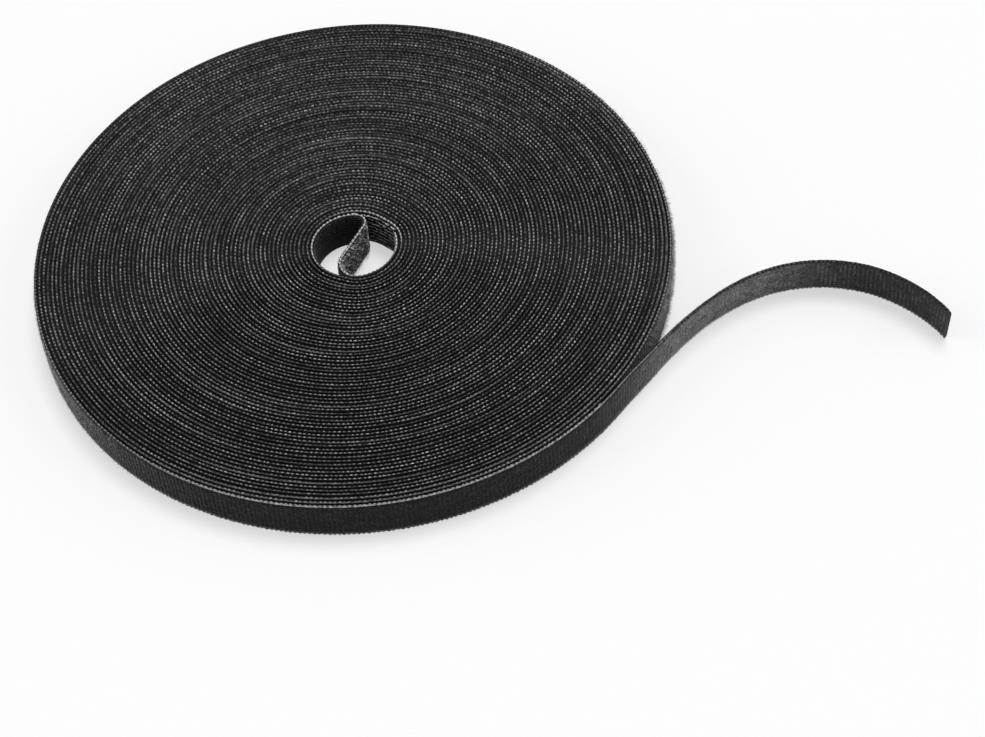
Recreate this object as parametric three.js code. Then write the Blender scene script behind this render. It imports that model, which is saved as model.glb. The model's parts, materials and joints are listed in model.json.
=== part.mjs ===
// Roll of double-sided hook and loop tape, wound on itself without a core, with its outer end peeled free.
// The tape is a hook ply and a loop ply bonded back to back: hooks face the roll's axis, loops face out.
// Millimetres, +Z up. The roll lies on its side, so every turn stands on its lower edge at z = 0.

import * as THREE from 'three';

// The tape
const TAPE_WIDTH = 12.7;
const TAPE_THICKNESS = 1.19;
const BOND_GAP = 0.3; // clearance between the backs of the two plies

// The winding, counter-clockwise from the bore to the rim as seen from above.
// Each turn drawn here stands for a few of the real, thinner ones.
const ROLL_DIAMETER = 180;
const BORE_DIAMETER = 21.5;
const WHOLE_TURNS = 23;
const STEPS_PER_TURN = 23;
const LAST_TURN_STEPS = 15; // the part of a turn left over after the whole ones
const TURN_GAP = 0.5;
const PEEL_ANGLE = -44; // degrees from +X, where the outer end leaves the rim

// The inner end: it leaves the first turn in a tight bend, crosses the bore,
// curls back the other way and lies along the wall of the bore
const BEND_RADIUS = 2.8;
const CURL_RADIUS = 5.3;
const CURL_TOUCH_ANGLE = 276; // degrees from +X, where the curl meets the wall
const INNER_END_ANGLE = 370;
const ARC_STEPS = 8;

// The turns over the inner end bulge by its thickness, less and less from turn to turn
const BULGE_RAMP = 34; // degrees over which a turn rises before the inner end and falls after it
const BULGE_TURNS = 12;

// The outer end: tangent to the rim, then curling away from the roll and leaning out
const TAIL_LENGTH = 115;
const TAIL_STRAIGHT = 5;
const TAIL_EASE = 60; // length over which the curl tightens to its full radius
const TAIL_CURL_RADIUS = 40;
const TAIL_LEAN = 8.5; // degrees that the upper edge leans out, toward the loop side
const TAIL_LEAN_EASE = 40; // length over which the lean grows
const TAIL_STEPS = 28;

// Clearance between stretches of tape that meet end to end or lie against each other
const SEAT_GAP = 0.3;

const rollRadius = ROLL_DIAMETER / 2;
const boreRadius = BORE_DIAMETER / 2;
const halfTape = TAPE_THICKNESS / 2;
const woundSteps = WHOLE_TURNS * STEPS_PER_TURN + LAST_TURN_STEPS;
const woundTurns = woundSteps / STEPS_PER_TURN;

// The first and last turns grow from one tape thickness to that of a drawn turn, so both ends match the tape
const turnThickness = (rollRadius - boreRadius - 2 * TAPE_THICKNESS - TURN_GAP) / (woundTurns - 1) - TURN_GAP;

const peelAngle = THREE.MathUtils.degToRad(PEEL_ANGLE);
const startAngle = peelAngle - (2 * Math.PI * LAST_TURN_STEPS) / STEPS_PER_TURN + 2 * Math.PI;
const curlTouchAngle = THREE.MathUtils.degToRad(CURL_TOUCH_ANGLE);
const innerEndAngle = THREE.MathUtils.degToRad(INNER_END_ANGLE);
const bulgeRamp = THREE.MathUtils.degToRad(BULGE_RAMP);

const polar = (radius, angle) => new THREE.Vector2(radius * Math.cos(angle), radius * Math.sin(angle));

// A station is a point on the tape's mid-line in plan, the direction its loop side faces, the thickness there,
// and how far the tape leans to its loop side per millimetre of height
const station = (point, loopAngle, thickness = TAPE_THICKNESS, lean = 0) => ({
  point,
  loopSide: polar(1, loopAngle),
  thickness,
  lean,
});

// How far a turn is pushed out by the inner end that lies inside it
function bulge(turn) {
  const angle = startAngle + 2 * Math.PI * (turn % 1);
  const rise = THREE.MathUtils.smoothstep(angle, curlTouchAngle - bulgeRamp, curlTouchAngle);
  const fall = THREE.MathUtils.smoothstep(angle, innerEndAngle, innerEndAngle + bulgeRamp);
  return (TAPE_THICKNESS + SEAT_GAP) * (rise - fall) * Math.max(1 - turn / BULGE_TURNS, 0);
}

function woundInnerRadius(turn) {
  const firstTurn = (TAPE_THICKNESS + TURN_GAP) * Math.min(turn, 1);
  const laterTurns = (turnThickness + TURN_GAP) * Math.max(turn - 1, 0);
  return boreRadius + firstTurn + laterTurns + bulge(turn);
}

function woundThickness(turn) {
  const turnsFromAnEnd = Math.min(turn, woundTurns - turn, 1);
  return THREE.MathUtils.lerp(TAPE_THICKNESS, turnThickness, turnsFromAnEnd);
}

function woundStations() {
  const stations = [];
  for (let step = 0; step <= woundSteps; step += 1) {
    const turn = step / STEPS_PER_TURN;
    const angle = startAngle + 2 * Math.PI * turn;
    const thickness = woundThickness(turn);
    stations.push(station(polar(woundInnerRadius(turn) + thickness / 2, angle), angle, thickness));
  }
  return stations;
}

// Mid-line radius of the inner end where it lies inside the first turn
function wallRadius(angle) {
  const turn = (angle - startAngle) / (2 * Math.PI);
  return woundInnerRadius(turn) - SEAT_GAP - halfTape;
}

function innerEndStations() {
  const bendCentre = polar(boreRadius + halfTape - BEND_RADIUS, startAngle);
  const curlCentre = polar(wallRadius(curlTouchAngle) - CURL_RADIUS, curlTouchAngle);

  // The tape crosses the bore on the line that passes left of the bend's centre and right of the curl's
  const across = curlCentre.clone().sub(bendCentre);
  const crossing = across.angle() - Math.asin((BEND_RADIUS + CURL_RADIUS) / across.length());
  const bendStart = startAngle - SEAT_GAP / BEND_RADIUS;
  const bendEnd = crossing + Math.PI / 2 - 2 * Math.PI;
  const curlStart = crossing - Math.PI / 2;

  const stations = [];
  for (let step = 0; step <= ARC_STEPS; step += 1) {
    const angle = THREE.MathUtils.lerp(bendStart, bendEnd, step / ARC_STEPS);
    stations.push(station(polar(BEND_RADIUS, angle).add(bendCentre), angle));
  }
  for (let step = 0; step <= ARC_STEPS; step += 1) {
    const angle = THREE.MathUtils.lerp(curlStart, curlTouchAngle, step / ARC_STEPS);
    stations.push(station(polar(CURL_RADIUS, angle).add(curlCentre), angle + Math.PI));
  }
  for (let step = 1; step <= ARC_STEPS; step += 1) {
    const angle = THREE.MathUtils.lerp(curlTouchAngle, innerEndAngle, step / ARC_STEPS);
    stations.push(station(polar(wallRadius(angle), angle), angle + Math.PI));
  }
  return stations.reverse();
}

// How far the tail has turned away from the rim's tangent at a distance along it
function tailTurn(distance) {
  const curled = Math.max(distance - TAIL_STRAIGHT, 0);
  const eased = Math.min(curled, TAIL_EASE);
  return ((eased * eased) / (2 * TAIL_EASE) + curled - eased) / TAIL_CURL_RADIUS;
}

function tailStations() {
  const stepLength = (TAIL_LENGTH - SEAT_GAP) / TAIL_STEPS;
  const tangent = peelAngle + Math.PI / 2;
  const fullLean = Math.tan(THREE.MathUtils.degToRad(TAIL_LEAN));
  const point = polar(rollRadius - halfTape, peelAngle).add(polar(SEAT_GAP, tangent));
  const stations = [station(point.clone(), peelAngle)];
  for (let step = 1; step <= TAIL_STEPS; step += 1) {
    const distance = SEAT_GAP + step * stepLength;
    point.add(polar(stepLength, tangent - tailTurn(distance - stepLength / 2)));
    const lean = fullLean * THREE.MathUtils.smoothstep(distance, SEAT_GAP, TAIL_LEAN_EASE);
    stations.push(station(point.clone(), peelAngle - tailTurn(distance), TAPE_THICKNESS, lean));
  }
  return stations;
}

// The two faces of each ply, measured from the tape's mid-line toward the loop side
const hookPly = {
  near: (thickness) => -thickness / 2,
  far: () => -BOND_GAP / 2,
};
const loopPly = {
  near: () => BOND_GAP / 2,
  far: (thickness) => thickness / 2,
};
const wholeTape = { near: hookPly.near, far: loopPly.far };

const facePoint = (at, face, height = 0) =>
  at.point.clone().addScaledVector(at.loopSide, face(at.thickness) + height * at.lean);

// One ply along a run of stations: four corners at each station, four walls at each step, and two ends.
// Every run goes the way of the winding, with its loop side on the right.
function plyGeometry(stations, ply) {
  const corners = [];
  const addCorner = (at, face, height) => {
    const plan = facePoint(at, face, height);
    corners.push(plan.x, plan.y, height);
  };
  for (const at of stations) {
    addCorner(at, ply.near, 0);
    addCorner(at, ply.far, 0);
    addCorner(at, ply.far, TAPE_WIDTH);
    addCorner(at, ply.near, TAPE_WIDTH);
  }
  const triangles = [];
  const quad = (a, b, c, d) => triangles.push(a, b, c, a, c, d);
  for (let step = 0; step < stations.length - 1; step += 1) {
    const here = 4 * step;
    const next = here + 4;
    for (let corner = 0; corner < 4; corner += 1) {
      const beside = (corner + 1) % 4;
      quad(here + corner, next + corner, next + beside, here + beside);
    }
  }
  const last = 4 * (stations.length - 1);
  quad(0, 1, 2, 3);
  quad(last + 3, last + 2, last + 1, last);
  const geometry = new THREE.BufferGeometry();
  geometry.setAttribute('position', new THREE.Float32BufferAttribute(corners, 3));
  geometry.setIndex(triangles);
  return geometry.toNonIndexed();
}

const hookMaterial = new THREE.MeshStandardMaterial({ color: 0x1b1b1c, roughness: 0.75, metalness: 0 });
const loopMaterial = new THREE.MeshStandardMaterial({ color: 0x303031, roughness: 0.95, metalness: 0 });

function tapeStretch(name, stations) {
  const plies = [
    ['hook_tape', hookPly, hookMaterial],
    ['loop_tape', loopPly, loopMaterial],
  ];
  return plies.map(([tape, ply, material]) => {
    const geometry = plyGeometry(stations, ply);
    geometry.computeVertexNormals();
    const mesh = new THREE.Mesh(geometry, material.clone());
    mesh.name = `${tape}_${name}`;
    return mesh;
  });
}

// Least gap between a wound strip's outer face and its inner face further along, on corners and mid-facets
function leastGap(stations, ply) {
  const withMiddles = (face) => {
    const points = stations.map((at) => facePoint(at, face));
    return points.flatMap((point, i) => (i === 0 ? [point] : [points[i - 1].clone().lerp(point, 0.5), point]));
  };
  const outer = withMiddles(ply.far);
  const inner = withMiddles(ply.near);
  let least = Infinity;
  for (let i = 0; i < outer.length; i += 1) {
    for (let j = i + STEPS_PER_TURN; j < inner.length; j += 1) {
      least = Math.min(least, outer[i].distanceTo(inner[j]));
    }
  }
  return least;
}

const wound = woundStations();
console.log(`least gap of the wound hook tape to itself: ${leastGap(wound, hookPly).toFixed(2)} mm`);
console.log(`least gap of the wound loop tape to itself: ${leastGap(wound, loopPly).toFixed(2)} mm`);
console.log(`least gap between turns of the whole tape: ${leastGap(wound, wholeTape).toFixed(2)} mm`);

const roll = new THREE.Group();
roll.add(...tapeStretch('wound', wound));
roll.add(...tapeStretch('inner_end', innerEndStations()));
roll.add(...tapeStretch('tail', tailStations()));

// The origin is the middle of the footprint, on the surface that the roll lies on
const footprint = new THREE.Box3().setFromObject(roll);
const middle = footprint.getCenter(new THREE.Vector3());
roll.position.set(-middle.x, -middle.y, -footprint.min.z);

const part = new THREE.Group();
part.add(roll);

export default part;
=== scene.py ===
# A coreless roll of black double-sided hook and loop tape, lying on its side with its outer end peeled free.
# The tape is one unbroken path: inner end, wound turns, tail. Every piece follows part of that path.

import json
import math

import bpy
import numpy as np
from mathutils import Matrix, Vector


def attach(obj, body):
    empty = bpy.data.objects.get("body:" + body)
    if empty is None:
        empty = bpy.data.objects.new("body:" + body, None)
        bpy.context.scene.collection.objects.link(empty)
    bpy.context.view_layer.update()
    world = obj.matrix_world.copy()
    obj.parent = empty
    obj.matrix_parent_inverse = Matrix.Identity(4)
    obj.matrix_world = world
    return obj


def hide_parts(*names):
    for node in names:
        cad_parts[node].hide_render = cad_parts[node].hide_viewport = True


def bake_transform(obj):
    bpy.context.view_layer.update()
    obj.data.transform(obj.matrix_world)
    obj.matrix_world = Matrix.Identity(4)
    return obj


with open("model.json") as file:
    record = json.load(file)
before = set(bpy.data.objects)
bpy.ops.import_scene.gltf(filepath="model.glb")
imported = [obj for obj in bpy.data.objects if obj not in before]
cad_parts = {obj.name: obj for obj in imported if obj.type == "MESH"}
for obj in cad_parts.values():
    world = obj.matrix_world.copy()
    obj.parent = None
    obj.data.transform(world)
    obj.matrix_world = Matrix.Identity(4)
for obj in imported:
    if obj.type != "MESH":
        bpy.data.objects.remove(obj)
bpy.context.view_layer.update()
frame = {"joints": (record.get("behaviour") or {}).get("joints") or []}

MM = 0.001
TAU = 2 * math.pi
SEED = 20

# The tape. Offsets across it are measured from its middle toward the loop side.
TAPE_WIDTH = 12.7 * MM
BOND = 0.0 * MM
LOOP_GROUND = 0.34 * MM
LOOP_PILE = 0.59 * MM
HOOK_GROUND = -0.32 * MM
HOOK_PILE = -0.57 * MM
GROUND_INSET = 0.45 * MM  # the woven ground ends this far below the crowns of the selvedge
PILE_MARGIN = 0.8 * MM  # bare weave between the edge and the pile
PILE_RISE = 0.6 * MM
PILE_STEP = 0.3 * MM  # a modelled pile has a row of points at every step along the tape
PILE_ROWS = 28
PILE_LEVEL = 0.65  # mean height of a modelled pile, as a share of the full pile, like the next four
PILE_RIBBING = 0.22  # height of its cross ribs
TUFT_HEIGHT = 0.14
CLUMP_HEIGHT = 0.1
WEAVE_HEIGHT = 0.15  # height of the bare weave's ribs
RIB_EASE = 45 * MM  # the ribs change over this length at a strip's end
TUFT_EASE = 3 * MM  # and the tufts die away over this one, so that two strips meet without a seam

# The selvedge: a row of weft turns, seen as beads along each edge
BEAD_PITCH = 1.28 * MM
BEAD_MIDDLE = 0.1 * MM
BEAD_SHIFT = 0.26 * MM  # beads sit up to this much before or after their even places
BEAD_HALF_WIDTH = 0.31 * MM
BEAD_NECK_HALF_WIDTH = 0.16 * MM
BEAD_CROWN_SHARE = 0.62  # width of a bead's crown, as a share of its foot
BEAD_UNEVEN = 0.3  # beads are smaller by up to this share
BEAD_DIP = 0.4 * MM
EDGE_DIP = 0.5 * MM  # the dip on the outermost turn's lower edge and on the tail, which show from the side
BEAD_FOOT = 0.6 * MM

# The roll
ROLL_RADIUS = 90 * MM
BORE_RADIUS = 10.75 * MM
TURNS = 65 + 15 / 23
PATH_STEPS = 180  # points of the path in each turn
PLY_STEPS = 72  # sections of a wound ply in each turn
PITCH = (ROLL_RADIUS - BORE_RADIUS) / (TURNS + 1)
PEEL_ANGLE = math.radians(-44)
START_ANGLE = PEEL_ANGLE - (TURNS % 1) * TAU + TAU
PEEL_GAP = 0.3 * MM

# The inner end
WALL_STEPS = 90
CURL_STEPS = 60
CROSSING_STEPS = 60
BEND_STEPS = 40
BEND_RADIUS = 2.8 * MM
CURL_RADIUS = 5.3 * MM
CURL_TOUCH_ANGLE = math.radians(276)
INNER_END_ANGLE = math.radians(370)
BULGE_RAMP = math.radians(34)
BULGE_TURNS = 34  # the turns over the inner end bulge by its thickness, less and less up to this one

# The tail
TAIL_LENGTH = 115.2 * MM  # along an even curl; the bow takes about 1 mm off it
TAIL_STEPS = 400
TAIL_STRAIGHT = 5 * MM
TAIL_EASE = 60 * MM
TAIL_CURL_RADIUS = 40 * MM
TAIL_BOW = 0.5 * MM  # the tail stands this much further to its loop side than an even curl
TAIL_BOW_EASE = 15 * MM
TAIL_END_BOW = 0.3 * MM  # and near its end this much more
TAIL_LEAN = math.radians(4.8)
TAIL_LEAN_EASE = 40 * MM
TAIL_END_LEAN = math.radians(3)  # the cut end stands a little straighter
TAIL_END_EASE = 45 * MM
CUT_SLANT = 1.3 * MM  # the cut end's upper corner is this much further along than its lower one
CUT_EASE = 12 * MM
CUT_PINCH = 0.2  # the shears press the tape thinner by this share
CUT_PINCH_EASE = 1.5 * MM
TAIL_ROOT = 8 * MM  # the tail's pieces start this far back on the rim, so that the bend has no seam


# The tape's path

def polar(radius, angle):
    return np.stack([radius * np.cos(angle), radius * np.sin(angle)], axis=-1)


def smooth_step(value, low, high):
    share = np.clip((value - low) / (high - low), 0, 1)
    return share * share * (3 - 2 * share)


def bulge(turn):
    """How far a turn is pushed out by the inner end that lies inside it."""
    angle = START_ANGLE + TAU * (turn % 1)
    rise = smooth_step(angle, CURL_TOUCH_ANGLE - BULGE_RAMP, CURL_TOUCH_ANGLE)
    fall = smooth_step(angle, INNER_END_ANGLE, INNER_END_ANGLE + BULGE_RAMP)
    return PITCH * (rise - fall) * np.clip(1 - turn / BULGE_TURNS, 0, 1)


def wound_points(turn):
    return polar(BORE_RADIUS + PITCH * (turn + 0.5) + bulge(turn), START_ANGLE + TAU * turn)


def wall_radius(angle):
    """Middle of the inner end where it lies inside the first turn."""
    turn = (angle - START_ANGLE) / TAU
    return BORE_RADIUS + PITCH * (turn - 0.5) + bulge(turn)


def inner_end_points():
    bend_centre = polar(BORE_RADIUS + PITCH / 2 - BEND_RADIUS, START_ANGLE)
    curl_centre = polar(wall_radius(CURL_TOUCH_ANGLE) - CURL_RADIUS, CURL_TOUCH_ANGLE)
    across = curl_centre - bend_centre
    crossing = math.atan2(across[1], across[0]) - math.asin((BEND_RADIUS + CURL_RADIUS) / np.hypot(*across))
    wall = np.linspace(INNER_END_ANGLE, CURL_TOUCH_ANGLE, WALL_STEPS)
    curl = np.linspace(CURL_TOUCH_ANGLE, crossing - math.pi / 2 + TAU, CURL_STEPS)
    bend = np.linspace(crossing + math.pi / 2, START_ANGLE, BEND_STEPS)
    along_wall = polar(wall_radius(wall), wall)
    in_curl = curl_centre + polar(CURL_RADIUS, curl)
    in_bend = bend_centre + polar(BEND_RADIUS, bend)
    straight = np.linspace(in_curl[-1], in_bend[0], CROSSING_STEPS)
    return np.concatenate([along_wall[:-1], in_curl[:-1], straight[:-1], in_bend[:-1]])


def tail_points():
    length = TAIL_LENGTH / TAIL_STEPS
    middle = (np.arange(TAIL_STEPS) + 0.5) * length
    curled = np.clip(middle - TAIL_STRAIGHT, 0, None)
    eased = np.clip(curled, 0, TAIL_EASE)
    heading = PEEL_ANGLE + math.pi / 2 - (eased**2 / (2 * TAIL_EASE) + curled - eased) / TAIL_CURL_RADIUS
    bow = TAIL_BOW * smooth_step(middle, 0, TAIL_BOW_EASE)
    near_end = TAIL_LENGTH - 2 * TAIL_BOW_EASE
    bow = bow + TAIL_END_BOW * smooth_step(middle, near_end, TAIL_LENGTH - TAIL_BOW_EASE)
    even_curl = wound_points(TURNS) + np.cumsum(polar(length, heading), axis=0)
    return even_curl + polar(1.0, heading - math.pi / 2) * bow[:, None]


hinge = np.array(frame["joints"][0]["pos_m"][:2])
roll_axis = hinge - polar(ROLL_RADIUS, PEEL_ANGLE) - polar(PEEL_GAP / 2, PEEL_ANGLE + math.pi / 2)

wound_turn = np.linspace(0, TURNS, int(TURNS * PATH_STEPS))
inner_points = inner_end_points()
path_points = roll_axis + np.concatenate([inner_points, wound_points(wound_turn), tail_points()])
path_steps = np.diff(path_points, axis=0)
path_distance = np.concatenate([[0], np.cumsum(np.hypot(*path_steps.T))])
path_heading = np.unwrap(np.arctan2(path_steps[:, 1], path_steps[:, 0]))
path_heading_distance = (path_distance[1:] + path_distance[:-1]) / 2

wound_index = len(inner_points)
peel_index = wound_index + len(wound_turn) - 1
wound_distance = path_distance[wound_index:peel_index + 1]
CURL_START = path_distance[WALL_STEPS - 1]
WOUND_START = path_distance[wound_index]
PEEL = path_distance[peel_index]
TAIL_END = path_distance[-1]


def tape_at(distance):
    """Points on the tape's middle in plan, and the directions that its loop side faces."""
    points = np.stack([np.interp(distance, path_distance, path_points[:, k]) for k in (0, 1)], axis=-1)
    heading = np.interp(distance, path_heading_distance, path_heading)
    return points, polar(1.0, heading - math.pi / 2)


def along_tape(loop_side):
    """The directions along the tape, from those that its loop side faces."""
    return np.stack([-loop_side[:, 1], loop_side[:, 0]], axis=-1)


def turn_at(distance):
    """Number of turns wound at a distance. It is 0 in the inner end and goes on counting along the tail."""
    past_peel = np.clip(distance - PEEL, 0, None)
    return np.interp(distance, wound_distance, wound_turn) + past_peel / (TAU * ROLL_RADIUS)


def distance_of(turn):
    return np.interp(turn, wound_turn, wound_distance)


def lean_at(distance):
    """How far the tape leans to its loop side for each unit of height."""
    lean = math.tan(TAIL_LEAN) * smooth_step(distance, PEEL, PEEL + TAIL_LEAN_EASE)
    upright = math.tan(TAIL_LEAN) - math.tan(TAIL_END_LEAN)
    return lean - upright * smooth_step(distance, TAIL_END - TAIL_END_EASE, TAIL_END)


def slant_at(distance, height):
    """How far a point is moved along the tape by the slanted cut at the tail's end."""
    share = smooth_step(distance, TAIL_END - CUT_EASE, TAIL_END)
    return CUT_SLANT * (height / TAPE_WIDTH - 0.5) * share


# Turns ride a little up and down on each other, except at the rim and in the bore
LIFT = 0.3 * MM
LIFT_STEP = 45 * MM
lift_values = np.random.default_rng(SEED).uniform(0, LIFT, int(TAIL_END / LIFT_STEP) + 2)


def lift(distance):
    at = distance / LIFT_STEP
    low = np.floor(at).astype(int)
    ease = smooth_step(at - low, 0, 1)
    value = lift_values[low] * (1 - ease) + lift_values[low + 1] * ease
    turn = turn_at(distance)
    return value * np.clip(turn, 0, 1) * np.clip(TURNS - 1 - turn, 0, 1)


# Meshes

def link(mesh, material):
    mesh.materials.append(material)
    mesh.polygons.foreach_set("use_smooth", np.ones(len(mesh.polygons), bool))
    piece = bpy.data.objects.new(mesh.name, mesh)
    bpy.context.scene.collection.objects.link(piece)
    return piece


def strip(name, distance, sections, material, mapped=None):
    """A closed strip along the tape. sections[i, j] is corner j at distance[i]: offset to the loop side and
    height. The corners go counter-clockwise with the loop side to the right. The map Tape holds distance and
    turn, and mapped is the distance that it holds where that isn't the real one."""
    steps, corners = sections.shape[:2]
    points, loop_side = tape_at(distance)
    along = along_tape(loop_side)
    pinch = 1 - CUT_PINCH * smooth_step(distance, TAIL_END - CUT_PINCH_EASE, TAIL_END)
    offset = sections[:, :, 0] * pinch[:, None] + sections[:, :, 1] * lean_at(distance)[:, None]
    forward = slant_at(distance[:, None], sections[:, :, 1])
    plan = points[:, None, :] + loop_side[:, None, :] * offset[:, :, None]
    plan = plan + along[:, None, :] * forward[:, :, None]
    height = sections[:, :, 1:] + lift(distance)[:, None, None]
    vertices = np.concatenate([plan, height], axis=2).reshape(-1, 3)
    step, corner = np.meshgrid(np.arange(steps - 1), np.arange(corners), indexing="ij")
    here, beside = step * corners + corner, step * corners + (corner + 1) % corners
    quads = np.stack([here, here + corners, beside + corners, beside], axis=-1).reshape(-1, 4)
    # The end faces have their own corners, so that they don't bend the shading of the sides
    rows = vertices.reshape(steps, corners, 3)
    vertices = np.concatenate([vertices, rows[0], rows[-1]])
    first, last = steps * corners, (steps + 1) * corners
    ends = [list(range(first, last)), list(range(last + corners - 1, last - 1, -1))]
    mesh = bpy.data.meshes.new(name)
    mesh.from_pydata(vertices.tolist(), [], quads.tolist() + ends)
    loops = np.zeros(len(mesh.loops), int)
    mesh.loops.foreach_get("vertex_index", loops)
    mapped = distance if mapped is None else mapped
    places = np.stack([mapped / MM, turn_at(distance)], axis=-1)
    places = np.concatenate([places, places[[0, -1]]]).repeat(corners, axis=0)
    mesh.uv_layers.new(name="Tape").data.foreach_set("uv", places[loops].astype(np.float32).ravel())
    return link(mesh, material)


def even(start, end, step):
    return np.linspace(start, end, max(2, int(round((end - start) / step)) + 1))


def ply_turns(name, start, end, profile, material):
    """Wound turns of one ply, with the same section all along."""
    distance = distance_of(even(turn_at(start), turn_at(end), 1 / PLY_STEPS))
    return strip(name, distance, np.broadcast_to(profile, (len(distance), *np.shape(profile))), material)


def ply_profile(ground, pile):
    """Section of a ply whose back is at the bond: bare weave along the edges and pile between them."""
    inset, margin, top = GROUND_INSET, PILE_MARGIN, TAPE_WIDTH
    face = [(ground, inset), (ground, margin), (pile, margin + PILE_RISE)]
    face += [(offset, top - height) for offset, height in reversed(face)]
    section = [(BOND, inset), *face, (BOND, top - inset)]
    return np.array(section if ground > BOND else section[::-1])


def pile_strip(name, start, end, ground, pile, material, seed, ribbing=(PILE_RIBBING, PILE_RIBBING)):
    """A ply with its pile modelled: cross ribs at every weft and a rough, tufted face. ribbing is the ribs'
    share of the pile along the strip and at its end."""
    draw = np.random.default_rng(seed)
    distance = even(start, end, PILE_STEP)
    height = np.linspace(GROUND_INSET, TAPE_WIDTH - GROUND_INSET, PILE_ROWS)
    from_edge = np.minimum(height, TAPE_WIDTH - height)
    cover = np.clip((from_edge - PILE_MARGIN) / PILE_RISE, 0, 1)
    rib = np.cos(TAU * distance / BEAD_PITCH)[:, None]
    tuft = draw.normal(0, 1, (len(distance), PILE_ROWS))
    clump = (tuft + np.roll(tuft, 1, 0) + np.roll(tuft, 1, 1) + np.roll(tuft, 2, 0)) / 2
    along, at_end = ribbing
    ribs = along + (at_end - along) * smooth_step(distance, end - RIB_EASE, end)
    calm = smooth_step(distance, start, start + TUFT_EASE) * smooth_step(end - distance, 0, TUFT_EASE)
    rise = PILE_LEVEL + ribs[:, None] * rib + calm[:, None] * (TUFT_HEIGHT * tuft + CLUMP_HEIGHT * clump)
    weave = WEAVE_HEIGHT * rib * (1 - cover)
    offset = ground + (pile - ground) * (cover * rise + weave)
    face = np.stack([offset, np.broadcast_to(height, offset.shape)], axis=-1)
    back = np.empty((len(distance), 2, 2))
    back[:, 0] = (BOND, TAPE_WIDTH - GROUND_INSET)
    back[:, 1] = (BOND, GROUND_INSET)
    sections = np.concatenate([face, back], axis=1)
    return strip(name, distance, sections if ground > BOND else sections[:, ::-1], material)


def selvedge(name, start, end, upper, material, seed, middle=BEAD_MIDDLE, dip=BEAD_DIP):
    """A row of beads along one edge of the tape: one crown and one neck for each weft turn."""
    draw = np.random.default_rng(seed)
    first = math.ceil(start / (BEAD_PITCH / 2))
    last = math.floor(end / (BEAD_PITCH / 2))
    index = np.arange(first, last + 1)
    crown = (index % 2 == 0) * (1 - draw.uniform(0, BEAD_UNEVEN, len(index)))
    crown[[0, -1]] = 1
    half = BEAD_NECK_HALF_WIDTH + (BEAD_HALF_WIDTH - BEAD_NECK_HALF_WIDTH) * crown
    narrow = BEAD_CROWN_SHARE * half
    top = dip * (1 - crown)
    sections = np.empty((len(index), 4, 2))
    sections[:, :, 0] = middle + np.stack([-half, half, narrow, -narrow], axis=-1)
    sections[:, :2, 1] = TAPE_WIDTH - BEAD_FOOT
    sections[:, 2:, 1] = TAPE_WIDTH - top[:, None]
    if not upper:
        sections[:, :, 1] = TAPE_WIDTH - sections[:, :, 1]
        sections = sections[:, ::-1]
    place = index * BEAD_PITCH / 2
    distance = place + draw.uniform(-BEAD_SHIFT, BEAD_SHIFT, len(index))
    distance[[0, -1]] = start, end
    return strip(name, distance, sections, material, mapped=place)


# The selvedge's catch thread: one thin thread along the loop side of the beads
CATCH_MIDDLE = 0.33 * MM
CATCH_HALF_WIDTH = 0.07 * MM
CATCH_TOP = 0.12 * MM
CATCH_DEPTH = 0.35 * MM


def catch_thread(name, distance, material):
    top = TAPE_WIDTH - CATCH_TOP
    low = top - CATCH_DEPTH
    inner, outer = CATCH_MIDDLE - CATCH_HALF_WIDTH, CATCH_MIDDLE + CATCH_HALF_WIDTH
    section = [(inner, low), (outer, low), (outer, top), (inner, top)]
    return strip(name, distance, np.broadcast_to(section, (len(distance), 4, 2)), material)


# Loops that stand off the pile. On the rim they lie low, on one stretch of it they are brushed up a little,
# where the tail was peeled off it they are pulled up, and in the bore they stand freely. The brushed loops on
# the rim's left and the loops in the bore are painted lighter: painted light. The pulled loops on the rim's
# right are lighter partly as pulled-up pile and partly as painted light.
FUZZ_SPAN = 0.5 * MM
FUZZ_FOOT = 0.45 * MM
FUZZ_MARGIN = 0.25 * MM
FUZZ_CLEAR = 0.02 * MM  # no loop comes closer to the floor
TUFT_SPREAD = 0.5 * MM
NO_FADE = 0.1 * MM  # a stretch of loops that doesn't thin out ends within this length
LOW_LOOPS = {"rise": 0.4 * MM, "wire": 0.014 * MM, "in_tuft": 2, "top_margin": 0.7 * MM}
PULLED_LOOPS = {"rise": 1.4 * MM, "wire": 0.02 * MM, "in_tuft": 3, "top_margin": 0.5 * MM}
BRUSHED_LOOPS = {"rise": 0.65 * MM, "wire": 0.014 * MM, "in_tuft": 2, "top_margin": 0.6 * MM}
FREE_LOOPS = {"rise": 0.9 * MM, "wire": 0.055 * MM, "in_tuft": 1, "top_margin": 0.3 * MM}


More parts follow.
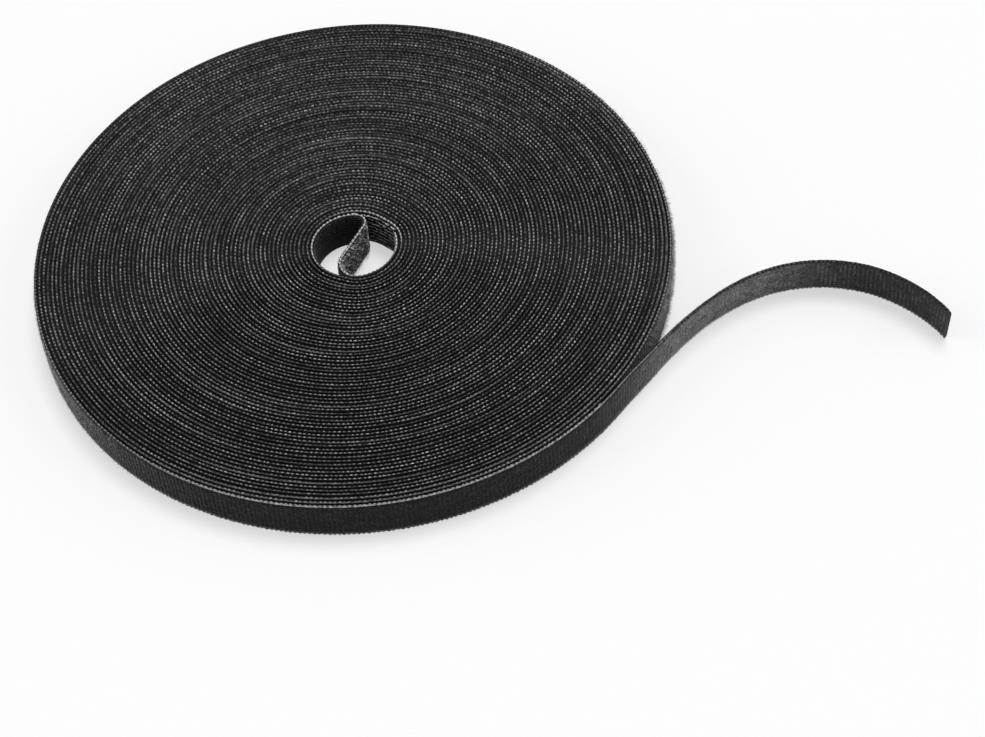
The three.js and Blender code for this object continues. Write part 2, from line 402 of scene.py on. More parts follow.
def fuzz(name, start, end, per_square_mm, loops, material, seed, fade=(NO_FADE, NO_FADE)):
    """Single loops that stand off the loop side along a stretch of the tape, each a thin arch. They thin out
    over the lengths in fade at the stretch's start and end."""
    draw = np.random.default_rng(seed)
    low, high = FUZZ_MARGIN, TAPE_WIDTH - loops["top_margin"]
    count = int(per_square_mm * (end - start) * (high - low) / MM**2)
    tuft = np.arange(count) // loops["in_tuft"]
    distance = draw.uniform(start, end, count)[tuft] + draw.normal(0, TUFT_SPREAD, count)
    height = draw.uniform(low, high, count)[tuft] + draw.normal(0, TUFT_SPREAD, count)
    distance, height = np.clip(distance, start, end), np.clip(height, low, high)
    share = smooth_step(distance, start, start + fade[0]) * smooth_step(end - distance, 0, fade[1])
    kept = draw.uniform(0, 1, count) < share
    distance, height, count = distance[kept], height[kept], np.count_nonzero(kept)
    lie = draw.uniform(0, TAU, count)
    span = FUZZ_SPAN * draw.uniform(0.5, 1, count)
    rise = loops["rise"] * draw.uniform(0.4, 1, count)
    wire = loops["wire"]
    points, loop_side = tape_at(distance)
    along = along_tape(loop_side)
    rings, sides = 4, 3
    vertices = np.empty((count, rings, sides, 3))
    for ring, arch in enumerate(np.linspace(0, math.pi, rings)):
        for side in range(sides):
            around = TAU * side / sides
            thick = wire * math.cos(around)
            forth = -math.cos(arch) * (span / 2 + thick)
            aside = -wire * math.sin(around)
            up = height + forth * np.sin(lie) + aside * np.cos(lie)
            out = FUZZ_FOOT + math.sin(arch) * (rise + thick) + up * lean_at(distance)
            shift = forth * np.cos(lie) - aside * np.sin(lie) + slant_at(distance, height)
            vertices[:, ring, side, :2] = points + loop_side * out[:, None] + along * shift[:, None]
            vertices[:, ring, side, 2] = np.maximum(up, FUZZ_CLEAR)
    return tubes(name, vertices, material)


def tubes(name, vertices, material):
    """Many small tubes in one mesh. vertices[i, j, k] is corner k of ring j of tube i."""
    count, rings, sides = vertices.shape[:3]
    ring, side = np.meshgrid(np.arange(rings - 1), np.arange(sides), indexing="ij")
    here, beside = ring * sides + side, ring * sides + (side + 1) % sides
    quads = np.stack([here, beside, beside + sides, here + sides], axis=-1).reshape(-1, 4)
    starts = (np.arange(count) * rings * sides)[:, None, None]
    last = (rings - 1) * sides
    first_cap = starts + np.arange(sides - 1, -1, -1)
    last_cap = starts + np.arange(last, last + sides)
    faces = (starts + quads).reshape(-1, 4).tolist()
    faces += first_cap.reshape(-1, sides).tolist() + last_cap.reshape(-1, sides).tolist()
    mesh = bpy.data.meshes.new(name)
    mesh.from_pydata(vertices.reshape(-1, 3).tolist(), [], faces)
    return link(mesh, material)


# A hook seen along the tape's width: out from the ply and along the tape
HOOK_PATH = np.array([(-0.05, 0), (0.17, 0.0), (0.29, 0.06), (0.34, 0.2), (0.31, 0.35), (0.22, 0.4)]) * MM
HOOK_WIRE = np.array([0.07, 0.065, 0.06, 0.06, 0.05, 0.04]) * MM
HOOK_ROW_SPACING = 0.82 * MM
HOOK_SPACING = 0.55 * MM
HOOK_SHIFT = 0.1 * MM  # how far hooks stand from their even places along a row and across it
HOOK_ROW_SHIFT = 0.07 * MM
HOOK_SIZES = (0.65, 1.15)


def hooks(name, start, end, material, seed, size=1.0, spread=1.0, length=1.0):
    """Rows of hooks on the hook side along a stretch of the tape. Hooks of more length lie flatter."""
    draw = np.random.default_rng(seed)
    heights = np.arange(TAPE_WIDTH - PILE_MARGIN, PILE_MARGIN, -HOOK_ROW_SPACING * spread)
    along_row = np.arange(start, end, HOOK_SPACING * spread)
    distance, height = (grid.ravel() for grid in np.meshgrid(along_row, heights, indexing="ij"))
    distance = distance + draw.normal(0, HOOK_SHIFT * spread**2, len(distance))
    height = height + draw.normal(0, HOOK_ROW_SHIFT * spread, len(height))
    reach = size * draw.uniform(*HOOK_SIZES, len(height))
    way = np.where(np.arange(len(height)) % 2 == 0, 1.0, -1.0)
    points, loop_side = tape_at(distance)
    along = along_tape(loop_side)
    tangent = np.gradient(HOOK_PATH, axis=0)
    tangent /= np.linalg.norm(tangent, axis=1)[:, None]
    vertices = np.empty((len(height), len(HOOK_PATH), 4, 3))
    for ring, ((out, forth), wire, (turn_out, turn_forth)) in enumerate(zip(HOOK_PATH, HOOK_WIRE, tangent)):
        sides = [(-turn_forth, turn_out, 0), (0, 0, 1), (turn_forth, -turn_out, 0), (0, 0, -1)]
        for side, (more_out, more_forth, more_up) in enumerate(sides):
            outward = HOOK_GROUND - (out + more_out * wire) * reach + height * lean_at(distance)
            forward = (forth * length + more_forth * wire) * reach * way + slant_at(distance, height)
            vertices[:, ring, side, :2] = points + loop_side * outward[:, None] + along * forward[:, None]
            vertices[:, ring, side, 2] = height + more_up * wire * way
    return tubes(name, vertices, material)


# Materials. Tones are shares of white, noise scales are per metre, and the map Tape is in millimetres.

YARN_SHINE = 0.1
BEAD_SCALE = 900.0
FIBRE_SCALE = 9000.0
PILE_SCALE = 2600.0
CLUMP_SCALE = 300.0
LOOP_SCALE = 1200.0
WEAVE_SCALE = 1800.0
HOOK_SCALE = 700.0
NOISE_LOW, NOISE_HIGH = 0.3, 0.7  # most of a noise lies between these
CLOSED_LOW, CLOSED_HIGH = 0.46, 0.62  # the beads run together as a noise goes from one to the other
# The painted shade on the back and left of the roll lies between these shares of a turn.
BACK_START = 0.28  # shares of a turn from the peel line: the back and left start here
BACK_EASE = 0.06
YARN_BACK_END = 0.63  # and end here for the beads, and further on for the catch thread
CATCH_BACK_END = 0.74
BORE_FADE_TURNS = (0.8, 1.3)  # the light beads round the bore fade out between these
BORE_FRONT_TURNS = (0.36, 0.76)  # and are darker here, at the bore's front
WALL_FRONT_START = 7  # where the inner end passes the bore's front, up to the curl
PEEL_MM = PEEL / MM


def new_material(name, roughness, sheen=0.0, sheen_roughness=0.4, specular=0.25):
    material = bpy.data.materials.new(name)
    material.use_nodes = True
    shader = material.node_tree.nodes["Principled BSDF"]
    shader.inputs["Roughness"].default_value = roughness
    shader.inputs["Sheen Weight"].default_value = sheen
    shader.inputs["Sheen Roughness"].default_value = sheen_roughness
    shader.inputs["Specular IOR Level"].default_value = specular
    return material, material.node_tree, shader


def math_node(tree, operation, first, second=0.0):
    node = tree.nodes.new("ShaderNodeMath")
    node.operation = operation
    for socket, value in zip(node.inputs, (first, second)):
        if isinstance(value, (int, float)):
            socket.default_value = value
        else:
            tree.links.new(value, socket)
    return node.outputs["Value"]


def times(tree, first, second):
    return math_node(tree, "MULTIPLY", first, second)


def map_range(tree, value, low, high, to_low, to_high):
    node = tree.nodes.new("ShaderNodeMapRange")
    node.interpolation_type = "SMOOTHSTEP"
    for name, number in (("From Min", low), ("From Max", high), ("To Min", to_low), ("To Max", to_high)):
        node.inputs[name].default_value = number
    tree.links.new(value, node.inputs["Value"])
    return node.outputs["Result"]


def noise(tree, vector, scale, detail=2.0):
    texture = tree.nodes.new("ShaderNodeTexNoise")
    texture.inputs["Scale"].default_value = scale
    texture.inputs["Detail"].default_value = detail
    tree.links.new(vector, texture.inputs["Vector"])
    return texture.outputs["Fac"]


def shade(tree, grain, low, high):
    """A value from low to high that follows a noise."""
    return map_range(tree, grain, NOISE_LOW, NOISE_HIGH, low, high)


def tape_map(tree):
    """Distance along the tape in millimetres, number of the turn, and both as a vector."""
    node = tree.nodes.new("ShaderNodeUVMap")
    node.uv_map = "Tape"
    split = tree.nodes.new("ShaderNodeSeparateXYZ")
    tree.links.new(node.outputs["UV"], split.inputs["Vector"])
    return split.outputs["X"], split.outputs["Y"], node.outputs["UV"]


def stretched(tree, vector, scale):
    node = tree.nodes.new("ShaderNodeMapping")
    node.inputs["Scale"].default_value = scale
    tree.links.new(vector, node.inputs["Vector"])
    return node.outputs["Vector"]


def object_coordinates(tree):
    return tree.nodes.new("ShaderNodeTexCoord").outputs["Object"]


def weft(tree, distance, low, high):
    """A value that swings from high on each weft to low between two."""
    swing = math_node(tree, "COSINE", times(tree, distance, TAU * MM / BEAD_PITCH))
    return map_range(tree, swing, -1, 1, low, high)


def set_grey(tree, shader, value):
    node = tree.nodes.new("ShaderNodeCombineColor")
    for channel in ("Red", "Green", "Blue"):
        tree.links.new(value, node.inputs[channel])
    tree.links.new(node.outputs["Color"], shader.inputs["Base Color"])


def bump(tree, shader, height, strength, distance):
    node = tree.nodes.new("ShaderNodeBump")
    node.inputs["Strength"].default_value = strength
    node.inputs["Distance"].default_value = distance
    tree.links.new(height, node.inputs["Height"])
    tree.links.new(node.outputs["Normal"], shader.inputs["Normal"])


def yarn_fibres(tree, shader):
    bump(tree, shader, noise(tree, object_coordinates(tree), FIBRE_SCALE, 2.0), 0.3, 0.05 * MM)


def between(tree, value, low, high, ease):
    """1 where a value lies between two others, with soft edges."""
    above = map_range(tree, value, low - ease, low + ease, 0, 1)
    return times(tree, above, map_range(tree, value, high - ease, high + ease, 1, 0))


def object_height(tree):
    split = tree.nodes.new("ShaderNodeSeparateXYZ")
    tree.links.new(object_coordinates(tree), split.inputs["Vector"])
    return split.outputs["Z"]


def shade_on_back_left(tree, turn, end):
    """1 on the back and left of the roll, as far as a share of a turn from the peel line, and 0 elsewhere:
    where painted shade falls on the beads and the catch thread.
    """
    since_peel = math_node(tree, "FRACT", math_node(tree, "SUBTRACT", turn, TURNS % 1))
    return between(tree, since_peel, BACK_START, end, BACK_EASE)


def painted_bead_shade(tree):
    """1 on the crowns of the beads along both edges, and less down their sides: painted shade."""
    half = TAPE_WIDTH / 2
    from_middle = math_node(tree, "ABSOLUTE", math_node(tree, "SUBTRACT", object_height(tree), half))
    return map_range(tree, from_middle, half - 0.5 * MM, half - 0.05 * MM, 0.12, 1)


def yarn_material(name, rim_low, rim_high):
    """Selvedge yarn: every weft turn is a light bead, brighter in patches along the turns and round the bore,
    and even along the rim. In places the beads lie close and make one line. Painted shade darkens each bead
    down its sides and in its neck, and the beads on the back and left. The rim's own tone is painted light:
    a highlight along the rim, and in the darker copy painted shade along its foot."""
    material, tree, shader = new_material(name, 0.5, specular=YARN_SHINE)
    distance, turn, both = tape_map(tree)
    back_shade = shade_on_back_left(tree, turn, YARN_BACK_END)
    patches = noise(tree, stretched(tree, both, (0.022, 7.3, 1)), 1.0, 3.0)
    beads = noise(tree, object_coordinates(tree), BEAD_SCALE, 1.0)
    tone = map_range(tree, patches, 0.3, 0.75, 0.12, 0.38)
    tone = times(tree, tone, map_range(tree, beads, 0.28, 0.72, 0.25, 1.7))
    closed = noise(tree, stretched(tree, both, (0.017, 5.7, 1)), 1.0, 2.0)
    # On the back and left the beads are painted closer together and darker: painted shade.
    closed = math_node(tree, "ADD", closed, times(tree, back_shade, 0.1))
    # Between the beads the necks are painted darker, less where the beads run together: painted shade in the
    # necks.
    neck = map_range(tree, closed, CLOSED_LOW, CLOSED_HIGH, 0.12, 0.8)
    crown = times(tree, weft(tree, distance, 0, 1), math_node(tree, "SUBTRACT", 1.0, neck))
    tone = times(tree, tone, math_node(tree, "ADD", crown, neck))
    tone = times(tree, tone, map_range(tree, closed, CLOSED_LOW, CLOSED_HIGH, 1, 0.5))
    # Each bead is painted darker down its sides: painted shade.
    tone = times(tree, tone, painted_bead_shade(tree))
    bore_tone = times(tree, weft(tree, distance, 0.3, 0.6), map_range(tree, turn, *BORE_FADE_TURNS, 1, 0))
    in_front = math_node(tree, "MAXIMUM", between(tree, turn, *BORE_FRONT_TURNS, 0.04),
                         between(tree, distance, WALL_FRONT_START, CURL_START / MM + 3, 2))
    bore_tone = times(tree, bore_tone, map_range(tree, in_front, 0, 1, 1, 0.2))
    tone = math_node(tree, "MAXIMUM", tone, bore_tone)
    # The outermost turn takes the rim's own tone, painted light: a highlight along the upper rim, and painted
    # shade along its foot in the darker copy, dimmed on the back and left by painted shade.
    painted_rim = between(tree, turn, TURNS - 1, TURNS + 1, 0.02)
    painted_rim_light = weft(tree, distance, rim_low, rim_high)
    painted_rim_light = times(tree, painted_rim_light, map_range(tree, back_shade, 0, 1, 1, 0.25))
    tone = times(tree, tone, math_node(tree, "SUBTRACT", 1.0, painted_rim))
    set_grey(tree, shader, math_node(tree, "ADD", tone, times(tree, painted_rim_light, painted_rim)))
    yarn_fibres(tree, shader)
    return material


def tail_edge_material():
    """Selvedge yarn along the tail's upper edge: dark beads, with the lighter pile showing between them."""
    material, tree, shader = new_material("selvedge_yarn_tail_upper", 0.6, specular=YARN_SHINE)
    distance = tape_map(tree)[0]
    tone = shade(tree, noise(tree, object_coordinates(tree), PILE_SCALE, 2.0), 0.6, 1.3)
    set_grey(tree, shader, times(tree, tone, weft(tree, distance, 0.05, 0.004)))
    return material


def tail_foot_material():
    """Selvedge yarn along the tail's lower edge: dark at the peel line, lightest a third of the way along:
    painted shade where the tail leaves the roll, painted light further on.
    """
    material, tree, shader = new_material("selvedge_yarn_tail_lower", 0.5, specular=YARN_SHINE)
    distance = tape_map(tree)[0]
    # Painted shade near the roll and painted light a third of the way along the tail.
    light = times(tree, map_range(tree, distance, PEEL_MM + 1, PEEL_MM + 32, 0.05, 1),
                  map_range(tree, distance, PEEL_MM + 38, PEEL_MM + 75, 1, 0.3))
    set_grey(tree, shader, times(tree, weft(tree, distance, 0.38, 0.6), light))
    yarn_fibres(tree, shader)
    return material


def catch_material():
    """Catch thread: a thin bright line along parts of the turns, along the front of the two turns inside the
    outermost one, and along the rim's last quarter turn and the start of the tail. The line along the rim is
    a painted highlight, and on the back and left painted shade dims the lines."""
    material, tree, shader = new_material("catch_thread", 0.5, specular=YARN_SHINE)
    _, turn, both = tape_map(tree)
    patches = noise(tree, stretched(tree, both, (0.012, 5.1, 1)), 1.0, 3.0)
    twist = noise(tree, stretched(tree, both, (1.6, 9.0, 1)), 1.0, 1.0)
    tone = map_range(tree, patches, 0.5, 0.75, 0.012, 0.2)
    # Painted shade dims the lines near the rim on the back and left; the line on the rim is a painted
    # highlight.
    near_rim = times(tree, between(tree, turn, TURNS - 2.95, TURNS - 1, 0.1), 0.16)
    back_shade = shade_on_back_left(tree, turn, CATCH_BACK_END)
    near_rim = times(tree, near_rim, map_range(tree, back_shade, 0, 1, 1, 0.1))
    painted_rim = times(tree, between(tree, turn, TURNS - 0.24, TURNS + 0.08, 0.04), 0.42)
    tone = math_node(tree, "MAXIMUM", tone, math_node(tree, "MAXIMUM", near_rim, painted_rim))
    tone = times(tree, tone, map_range(tree, turn, TURNS + 0.025, TURNS + 0.045, 1, 0.05))
    set_grey(tree, shader, times(tree, tone, shade(tree, twist, 0.3, 1.3)))
    return material


def pile_material(name, low, high):
    """Brushed loops: a soft dark face with a rib on every weft, brighter at a glancing angle. Where the tape
    has been peeled off the roll its loops stand up, lighter and less ribbed, and flatter near its end. The
    lighter tone there is partly these loops and partly painted light on the tail."""
    material, tree, shader = new_material(name, 0.95, sheen=1.0, sheen_roughness=0.26)
    distance = tape_map(tree)[0]
    fuzzy = noise(tree, object_coordinates(tree), PILE_SCALE, 4.0)
    clumps = noise(tree, object_coordinates(tree), CLUMP_SCALE, 2.0)
    tone = times(tree, map_range(tree, fuzzy, 0.35, 0.7, low, high), shade(tree, clumps, 0.6, 1.1))
    # Partly loops that stand up, partly painted light: from just before the peel line the pile is painted up
    # to 26 times lighter, less so towards the tail's end.
    raised_and_lit = math_node(tree, "SUBTRACT", map_range(tree, distance, PEEL_MM - 15, PEEL_MM + 38, 0, 1),
                       map_range(tree, distance, PEEL_MM + 45, PEEL_MM + 88, 0, 0.72))
    ribs = times(tree, weft(tree, distance, -0.5, 0.5), map_range(tree, clumps, 0.35, 0.65, 0.3, 1))
    ribs = times(tree, ribs, map_range(tree, raised_and_lit, 0.3, 0.6, 1, 0.2))
    tone = times(tree, tone, math_node(tree, "ADD", 0.85, ribs))
    set_grey(tree, shader, times(tree, tone, map_range(tree, raised_and_lit, 0, 1, 1, 26)))
    bump(tree, shader, fuzzy, 0.6, 0.12 * MM)
    return material


def fuzz_material(name, low, high):
    """Fine loose loops of the pile, lighter than the pile itself."""
    material, tree, shader = new_material(name, 0.7)
    set_grey(tree, shader, shade(tree, noise(tree, object_coordinates(tree), LOOP_SCALE, 1.0), low, high))
    return material


def weave_material(name, low, high):
    """Plain dark woven ground."""
    material, tree, shader = new_material(name, 0.85, sheen=0.05, specular=0.12)
    threads = noise(tree, object_coordinates(tree), WEAVE_SCALE, 2.0)
    set_grey(tree, shader, shade(tree, threads, low, high))
    bump(tree, shader, threads, 0.4, 0.08 * MM)
    return material


def hook_material(name, low, high):
    """Stiff nylon hooks with a dull shine."""
    material, tree, shader = new_material(name, 0.32, specular=0.5)
    set_grey(tree, shader, shade(tree, noise(tree, object_coordinates(tree), HOOK_SCALE, 1.0), low, high))
    return material


# Camera: fitted to the rim, the bore and the tail in a frame of 985 by 737 pixels

FRAME_PX = np.array([985.0, 737.0])
ROLL_FOOT_PX = np.array([357.6, 273.67])  # where the roll's axis meets the floor
FOCAL_PX = 2332.9
CAMERA_DISTANCE = 663.1 * MM
CAMERA_ELEVATION = math.radians(48.68)
CAMERA_TWIST = math.radians(8.17)
SENSOR_WIDTH = 36.0


def unit(vector):
    return vector / np.linalg.norm(vector)


def add_camera():
    back = np.array([0, -math.cos(CAMERA_ELEVATION), math.sin(CAMERA_ELEVATION)])
    right = np.array([1.0, 0, 0])
    world_axes = np.stack([right, np.cross(back, right), back])
    offset = (ROLL_FOOT_PX - FRAME_PX / 2) / FOCAL_PX
    ahead = unit(np.array([offset[0], -offset[1], -1.0]))
    level = unit(np.cross(ahead, np.array([0, 1.0, 0])))
    upright = np.cross(level, ahead)
    cosine, sine = math.cos(CAMERA_TWIST), math.sin(CAMERA_TWIST)
    camera_axes = np.stack([cosine * level + sine * upright, cosine * upright - sine * level, -ahead])
    rotation = Matrix((world_axes.T @ camera_axes).tolist()).to_4x4()
    data = bpy.data.cameras.new("camera")
    data.sensor_width = SENSOR_WIDTH
    data.lens = FOCAL_PX * SENSOR_WIDTH / FRAME_PX[0]
    camera = bpy.data.objects.new("camera", data)
    place = Matrix.Translation((*roll_axis, 0)) @ Matrix.Translation(back * CAMERA_DISTANCE)
    camera.matrix_world = place @ rotation
    bpy.context.scene.collection.objects.link(camera)
    bpy.context.scene.camera = camera


add_camera()

yarn = yarn_material("selvedge_yarn", 0.06, 0.32)
# A much darker copy of the yarn for the rim's lower edge: painted shade along the foot of the roll.
shaded_rim_yarn = yarn_material("selvedge_yarn_painted_shade", 0.01, 0.03)
tail_upper_yarn = tail_edge_material()
tail_lower_yarn = tail_foot_material()
catch_yarn = catch_material()
pile = pile_material("loop_pile", 0.002, 0.016)
# A lighter copy of the pile for the inner end: painted light on its face in the bore.
lit_inner_pile = pile_material("loop_pile_inner_end_painted_light", 0.01, 0.06)
low_loops = fuzz_material("loop_fuzz_low", 0.05, 0.3)
# Loops on the rim's left, painted lighter: painted light on that side of the roll.
lit_brushed_loops = fuzz_material("loop_fuzz_brushed_painted_light", 0.35, 0.85)
# Loops where the tail was peeled off, on the rim's right: lighter partly as pulled-up pile and partly as
# painted light.
lit_pulled_loops = fuzz_material("loop_fuzz_pulled_painted_light", 0.28, 0.65)
# The loops in the bore are painted much lighter than those on the rim: painted light.
lit_free_loops = fuzz_material("loop_fuzz_free_painted_light", 0.3, 0.9)
loop_weave = weave_material("loop_weave", 0.008, 0.022)
hook_weave = weave_material("hook_weave", 0.005, 0.014)
hook_nylon = hook_material("hook_nylon", 0.02, 0.08)
# A much lighter copy of the hook nylon for the bore's right wall: painted glints where its hooks catch the
# light.
nylon_painted_glint = hook_material("hook_nylon_painted_glint", 0.35, 0.85)

RIM_FOOT_MIDDLE = 0.28 * MM  # the lower beads of the outermost turn and the tail stand out a little
TAIL_BEAD_MIDDLE = 0.32 * MM  # and so do the tail's upper beads
TAIL_RIBBING = 0.1
RIM_RIBBING = 0.35
FIRST_TAIL_HOOKS = 2 * MM  # after the peel line
LAST_TAIL_HOOKS = 1.2 * MM  # before the cut end
TAIL_CATCH_LENGTH = 24 * MM  # how much of the tail's catch thread shows
TAIL_CATCH_STEP = 1 * MM
WOUND_CATCH_STEP = 2.5 * MM
EDGE_SPLIT_TURN = TURNS * 0.7  # the wound selvedges are two pieces each, to keep them small
RIM_SPLIT_TURN = TURNS - 0.45  # and so are the low loops on the rim
BRUSHED_TURNS = (TURNS - 0.5, TURNS - 0.23)
PEELED_START = 14 * MM  # the pulled loops start this far round the rim from the peel line
PEELED_PAST_TAIL = 45 * MM  # and go on for this much more than the tail's length
WALL_LOOPS = (0.5 * MM, 7 * MM)
CROSSING_MARGIN = 5 * MM
LEFT_HOOKS_START = 18 * MM
LEFT_HOOKS_END_TURN = 0.54
RIGHT_HOOKS_TURNS = (0.82, 0.98)
RIGHT_HOOKS_SCALE = 1.7

# Loops that stand on each square millimetre
TAIL_LOOP_COUNT = 3.0
RIM_LOOP_COUNT = 2.0
BRUSHED_LOOP_COUNT = 5.5
PEELED_LOOP_COUNT = 3.5
WALL_LOOP_COUNT = 2.5
CROSSING_LOOP_COUNT = 1.8

# The tail, free from the peel line to its cut end.
tail_start = PEEL - TAIL_ROOT
loop_tail = pile_strip("loop_ply_tail", tail_start, TAIL_END, LOOP_GROUND, LOOP_PILE, pile, SEED + 1,
                       ribbing=(TAIL_RIBBING, TAIL_RIBBING))
hook_tail = pile_strip("hook_ply_tail", tail_start, TAIL_END, HOOK_GROUND, HOOK_PILE, hook_weave, SEED + 2)
tail_hooks = hooks("hooks_tail", PEEL + FIRST_TAIL_HOOKS, TAIL_END - LAST_TAIL_HOOKS, hook_nylon, SEED + 3)
tail_upper = selvedge("selvedge_tail_upper", tail_start, TAIL_END, True, tail_upper_yarn, SEED + 4,
                      TAIL_BEAD_MIDDLE, EDGE_DIP)
tail_lower = selvedge("selvedge_tail_lower", tail_start, TAIL_END, False, tail_lower_yarn, SEED + 5,
                      RIM_FOOT_MIDDLE, EDGE_DIP)
tail_catch_steps = even(tail_start, PEEL + TAIL_CATCH_LENGTH, TAIL_CATCH_STEP)
tail_catch = catch_thread("catch_thread_tail", tail_catch_steps, catch_yarn)
tail_fuzz = fuzz("loop_fuzz_tail", tail_start, TAIL_END, TAIL_LOOP_COUNT, LOW_LOOPS, low_loops, SEED + 16)

on_tail = [hook_tail, tail_hooks, tail_upper, tail_lower, tail_catch, tail_fuzz]
for piece in (loop_tail, *on_tail):
    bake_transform(piece)
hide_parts("loop_tape_tail")
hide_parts("hook_tape_tail")

# The wound turns. The outermost one shows its whole outer face, so its pile is modelled.
rim_start = distance_of(TURNS - 1)
middle_turn = distance_of(EDGE_SPLIT_TURN)
loop_profile, hook_profile = ply_profile(LOOP_GROUND, LOOP_PILE), ply_profile(HOOK_GROUND, HOOK_PILE)
loop_turns = ply_turns("loop_ply_turns", WOUND_START, rim_start, loop_profile, loop_weave)
hook_turns = ply_turns("hook_ply_turns", WOUND_START, tail_start, hook_profile, hook_weave)
rim = pile_strip("loop_ply_rim", rim_start, tail_start, LOOP_GROUND, LOOP_PILE, pile, SEED + 6,
                 ribbing=(RIM_RIBBING, TAIL_RIBBING))
rim_middle = distance_of(RIM_SPLIT_TURN)
brushed_start, brushed_end = distance_of(BRUSHED_TURNS)
peeled_start, peeled_end = rim_start + PEELED_START, rim_start + TAIL_LENGTH + PEELED_PAST_TAIL
rim_fuzz = [
    fuzz("loop_fuzz_rim_back", rim_start, rim_middle, RIM_LOOP_COUNT,
         LOW_LOOPS, low_loops, SEED + 17, fade=(30 * MM, NO_FADE)),
    fuzz("loop_fuzz_rim_front", rim_middle, tail_start, RIM_LOOP_COUNT,
         LOW_LOOPS, low_loops, SEED + 21),
    fuzz("loop_fuzz_rim_brushed", brushed_start, brushed_end, BRUSHED_LOOP_COUNT,
         BRUSHED_LOOPS, lit_brushed_loops, SEED + 24, fade=(55 * MM, 60 * MM)),
    fuzz("loop_fuzz_rim_peeled", peeled_start, peeled_end, PEELED_LOOP_COUNT,
         PULLED_LOOPS, lit_pulled_loops, SEED + 23, fade=(15 * MM, 90 * MM)),
]
catch_steps = even(WOUND_START, tail_start, WOUND_CATCH_STEP)
edges = [
    selvedge("selvedge_upper_inner", WOUND_START, middle_turn, True, yarn, SEED + 7),
    selvedge("selvedge_upper_outer", middle_turn, tail_start, True, yarn, SEED + 8),
    selvedge("selvedge_lower_inner", WOUND_START, middle_turn, False, yarn, SEED + 9),
    selvedge("selvedge_lower_outer", middle_turn, rim_start, False, yarn, SEED + 10),
    # The rim's lower beads: painted shade from the darker copy of the yarn.
    selvedge("selvedge_lower_rim", rim_start, tail_start, False, shaded_rim_yarn, SEED + 19,
             RIM_FOOT_MIDDLE, EDGE_DIP),
    catch_thread("catch_thread_turns", catch_steps, catch_yarn),
]

# The inner end, folded across the bore, and the hooks that show on the bore's wall
loop_inner = pile_strip("loop_ply_inner_end", 0, WOUND_START, LOOP_GROUND, LOOP_PILE, lit_inner_pile, SEED + 11)
hook_inner = pile_strip("hook_ply_inner_end", 0, WOUND_START, HOOK_GROUND, HOOK_PILE, hook_weave, SEED + 12)
crossing_start, crossing_end = CURL_START + CROSSING_MARGIN, WOUND_START - CROSSING_MARGIN
inner_fuzz = [
    fuzz("loop_fuzz_inner_wall", *WALL_LOOPS, WALL_LOOP_COUNT, LOW_LOOPS, lit_free_loops, SEED + 22),
    fuzz("loop_fuzz_crossing", crossing_start, crossing_end, CROSSING_LOOP_COUNT,
         FREE_LOOPS, lit_free_loops, SEED + 20),
]
left_hooks_end = distance_of(LEFT_HOOKS_END_TURN)
left_hooks = hooks("hooks_bore_left", LEFT_HOOKS_START, left_hooks_end, hook_nylon, SEED + 13)
# The hooks on the bore's right wall: painted glints from the lighter copy of the nylon.
right_hooks = hooks("hooks_bore_right", *distance_of(RIGHT_HOOKS_TURNS), nylon_painted_glint, SEED + 18,
                    size=RIGHT_HOOKS_SCALE, spread=RIGHT_HOOKS_SCALE, length=RIGHT_HOOKS_SCALE)
edges += [
    selvedge("selvedge_inner_end_upper", 0, WOUND_START, True, yarn, SEED + 14),
    selvedge("selvedge_inner_end_lower", 0, WOUND_START, False, yarn, SEED + 15),
]

hook_pieces = [hook_turns, hook_inner, left_hooks, right_hooks]
for piece in (loop_turns, rim, loop_inner, *rim_fuzz, *inner_fuzz, *edges, *hook_pieces):
    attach(piece, "roll")
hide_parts("loop_tape_wound")
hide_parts("hook_tape_wound")
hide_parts("loop_tape_inner_end")
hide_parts("hook_tape_inner_end")

# Floor and light: a white floor under one broad lamp high above, two weak ones at the sides and an even sky

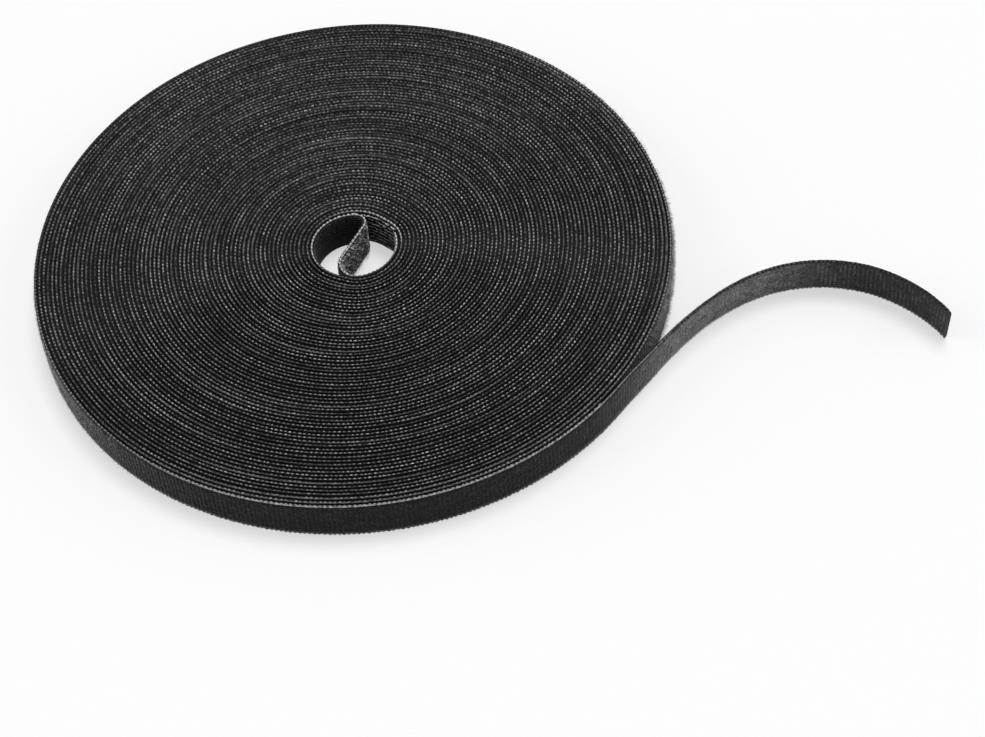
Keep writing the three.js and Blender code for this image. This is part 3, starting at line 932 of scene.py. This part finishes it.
FLOOR_HALF = 3.0
PAPER_SCALE = 300.0
FLOOR_GLOW = 0.55  # share of plain white in what the camera sees of the floor
LAMPS = (  # name, strength, angle that it fills, where it stands
    ("lamp_above", 1.6, 26, (0.16, 0.24, 1.0)),
    ("lamp_right", 0.75, 50, (0.9, -0.2, 0.42)),
    ("lamp_left", 0.75, 50, (-0.9, 0.15, 0.42)),
)
SKY_STRENGTH = 0.32


def background_rays(tree):
    """1 for rays that show the background itself, by sight, by reflection or through something clear."""
    path = tree.nodes.new("ShaderNodeLightPath")
    seen = math_node(tree, "MAXIMUM", path.outputs["Is Camera Ray"], path.outputs["Is Glossy Ray"])
    return math_node(tree, "MAXIMUM", seen, path.outputs["Is Transmission Ray"])


def add_floor():
    mesh = bpy.data.meshes.new("floor")
    corners = [(-FLOOR_HALF, -FLOOR_HALF, 0), (FLOOR_HALF, -FLOOR_HALF, 0)]
    corners += [(FLOOR_HALF, FLOOR_HALF, 0), (-FLOOR_HALF, FLOOR_HALF, 0)]
    mesh.from_pydata(corners, [], [(0, 1, 2, 3)])
    material, tree, shader = new_material("floor_paper", 0.9, specular=0.0)
    grain = noise(tree, object_coordinates(tree), PAPER_SCALE, 2.0)
    set_grey(tree, shader, shade(tree, grain, 0.955, 0.965))
    glow = tree.nodes.new("ShaderNodeEmission")
    blend = tree.nodes.new("ShaderNodeMixShader")
    tree.links.new(times(tree, background_rays(tree), FLOOR_GLOW), blend.inputs["Fac"])
    tree.links.new(shader.outputs["BSDF"], blend.inputs[1])
    tree.links.new(glow.outputs["Emission"], blend.inputs[2])
    tree.links.new(blend.outputs["Shader"], tree.nodes["Material Output"].inputs["Surface"])
    link(mesh, material)


def add_light():
    for name, strength, angle, place in LAMPS:
        light = bpy.data.lights.new(name, "SUN")
        light.energy = strength
        light.angle = math.radians(angle)
        lamp = bpy.data.objects.new(name, light)
        lamp.rotation_euler = Vector(place).to_track_quat("Z", "Y").to_euler()
        bpy.context.scene.collection.objects.link(lamp)
    world = bpy.data.worlds.new("sky")
    world.use_nodes = True
    tree = world.node_tree
    sky = tree.nodes["Background"]
    sky.inputs["Color"].default_value = (1, 1, 1, 1)
    strength = map_range(tree, background_rays(tree), 0, 1, SKY_STRENGTH, 1.0)
    tree.links.new(strength, sky.inputs["Strength"])
    bpy.context.scene.world = world


add_floor()
add_light()
bpy.context.scene.view_settings.view_transform = "Standard"
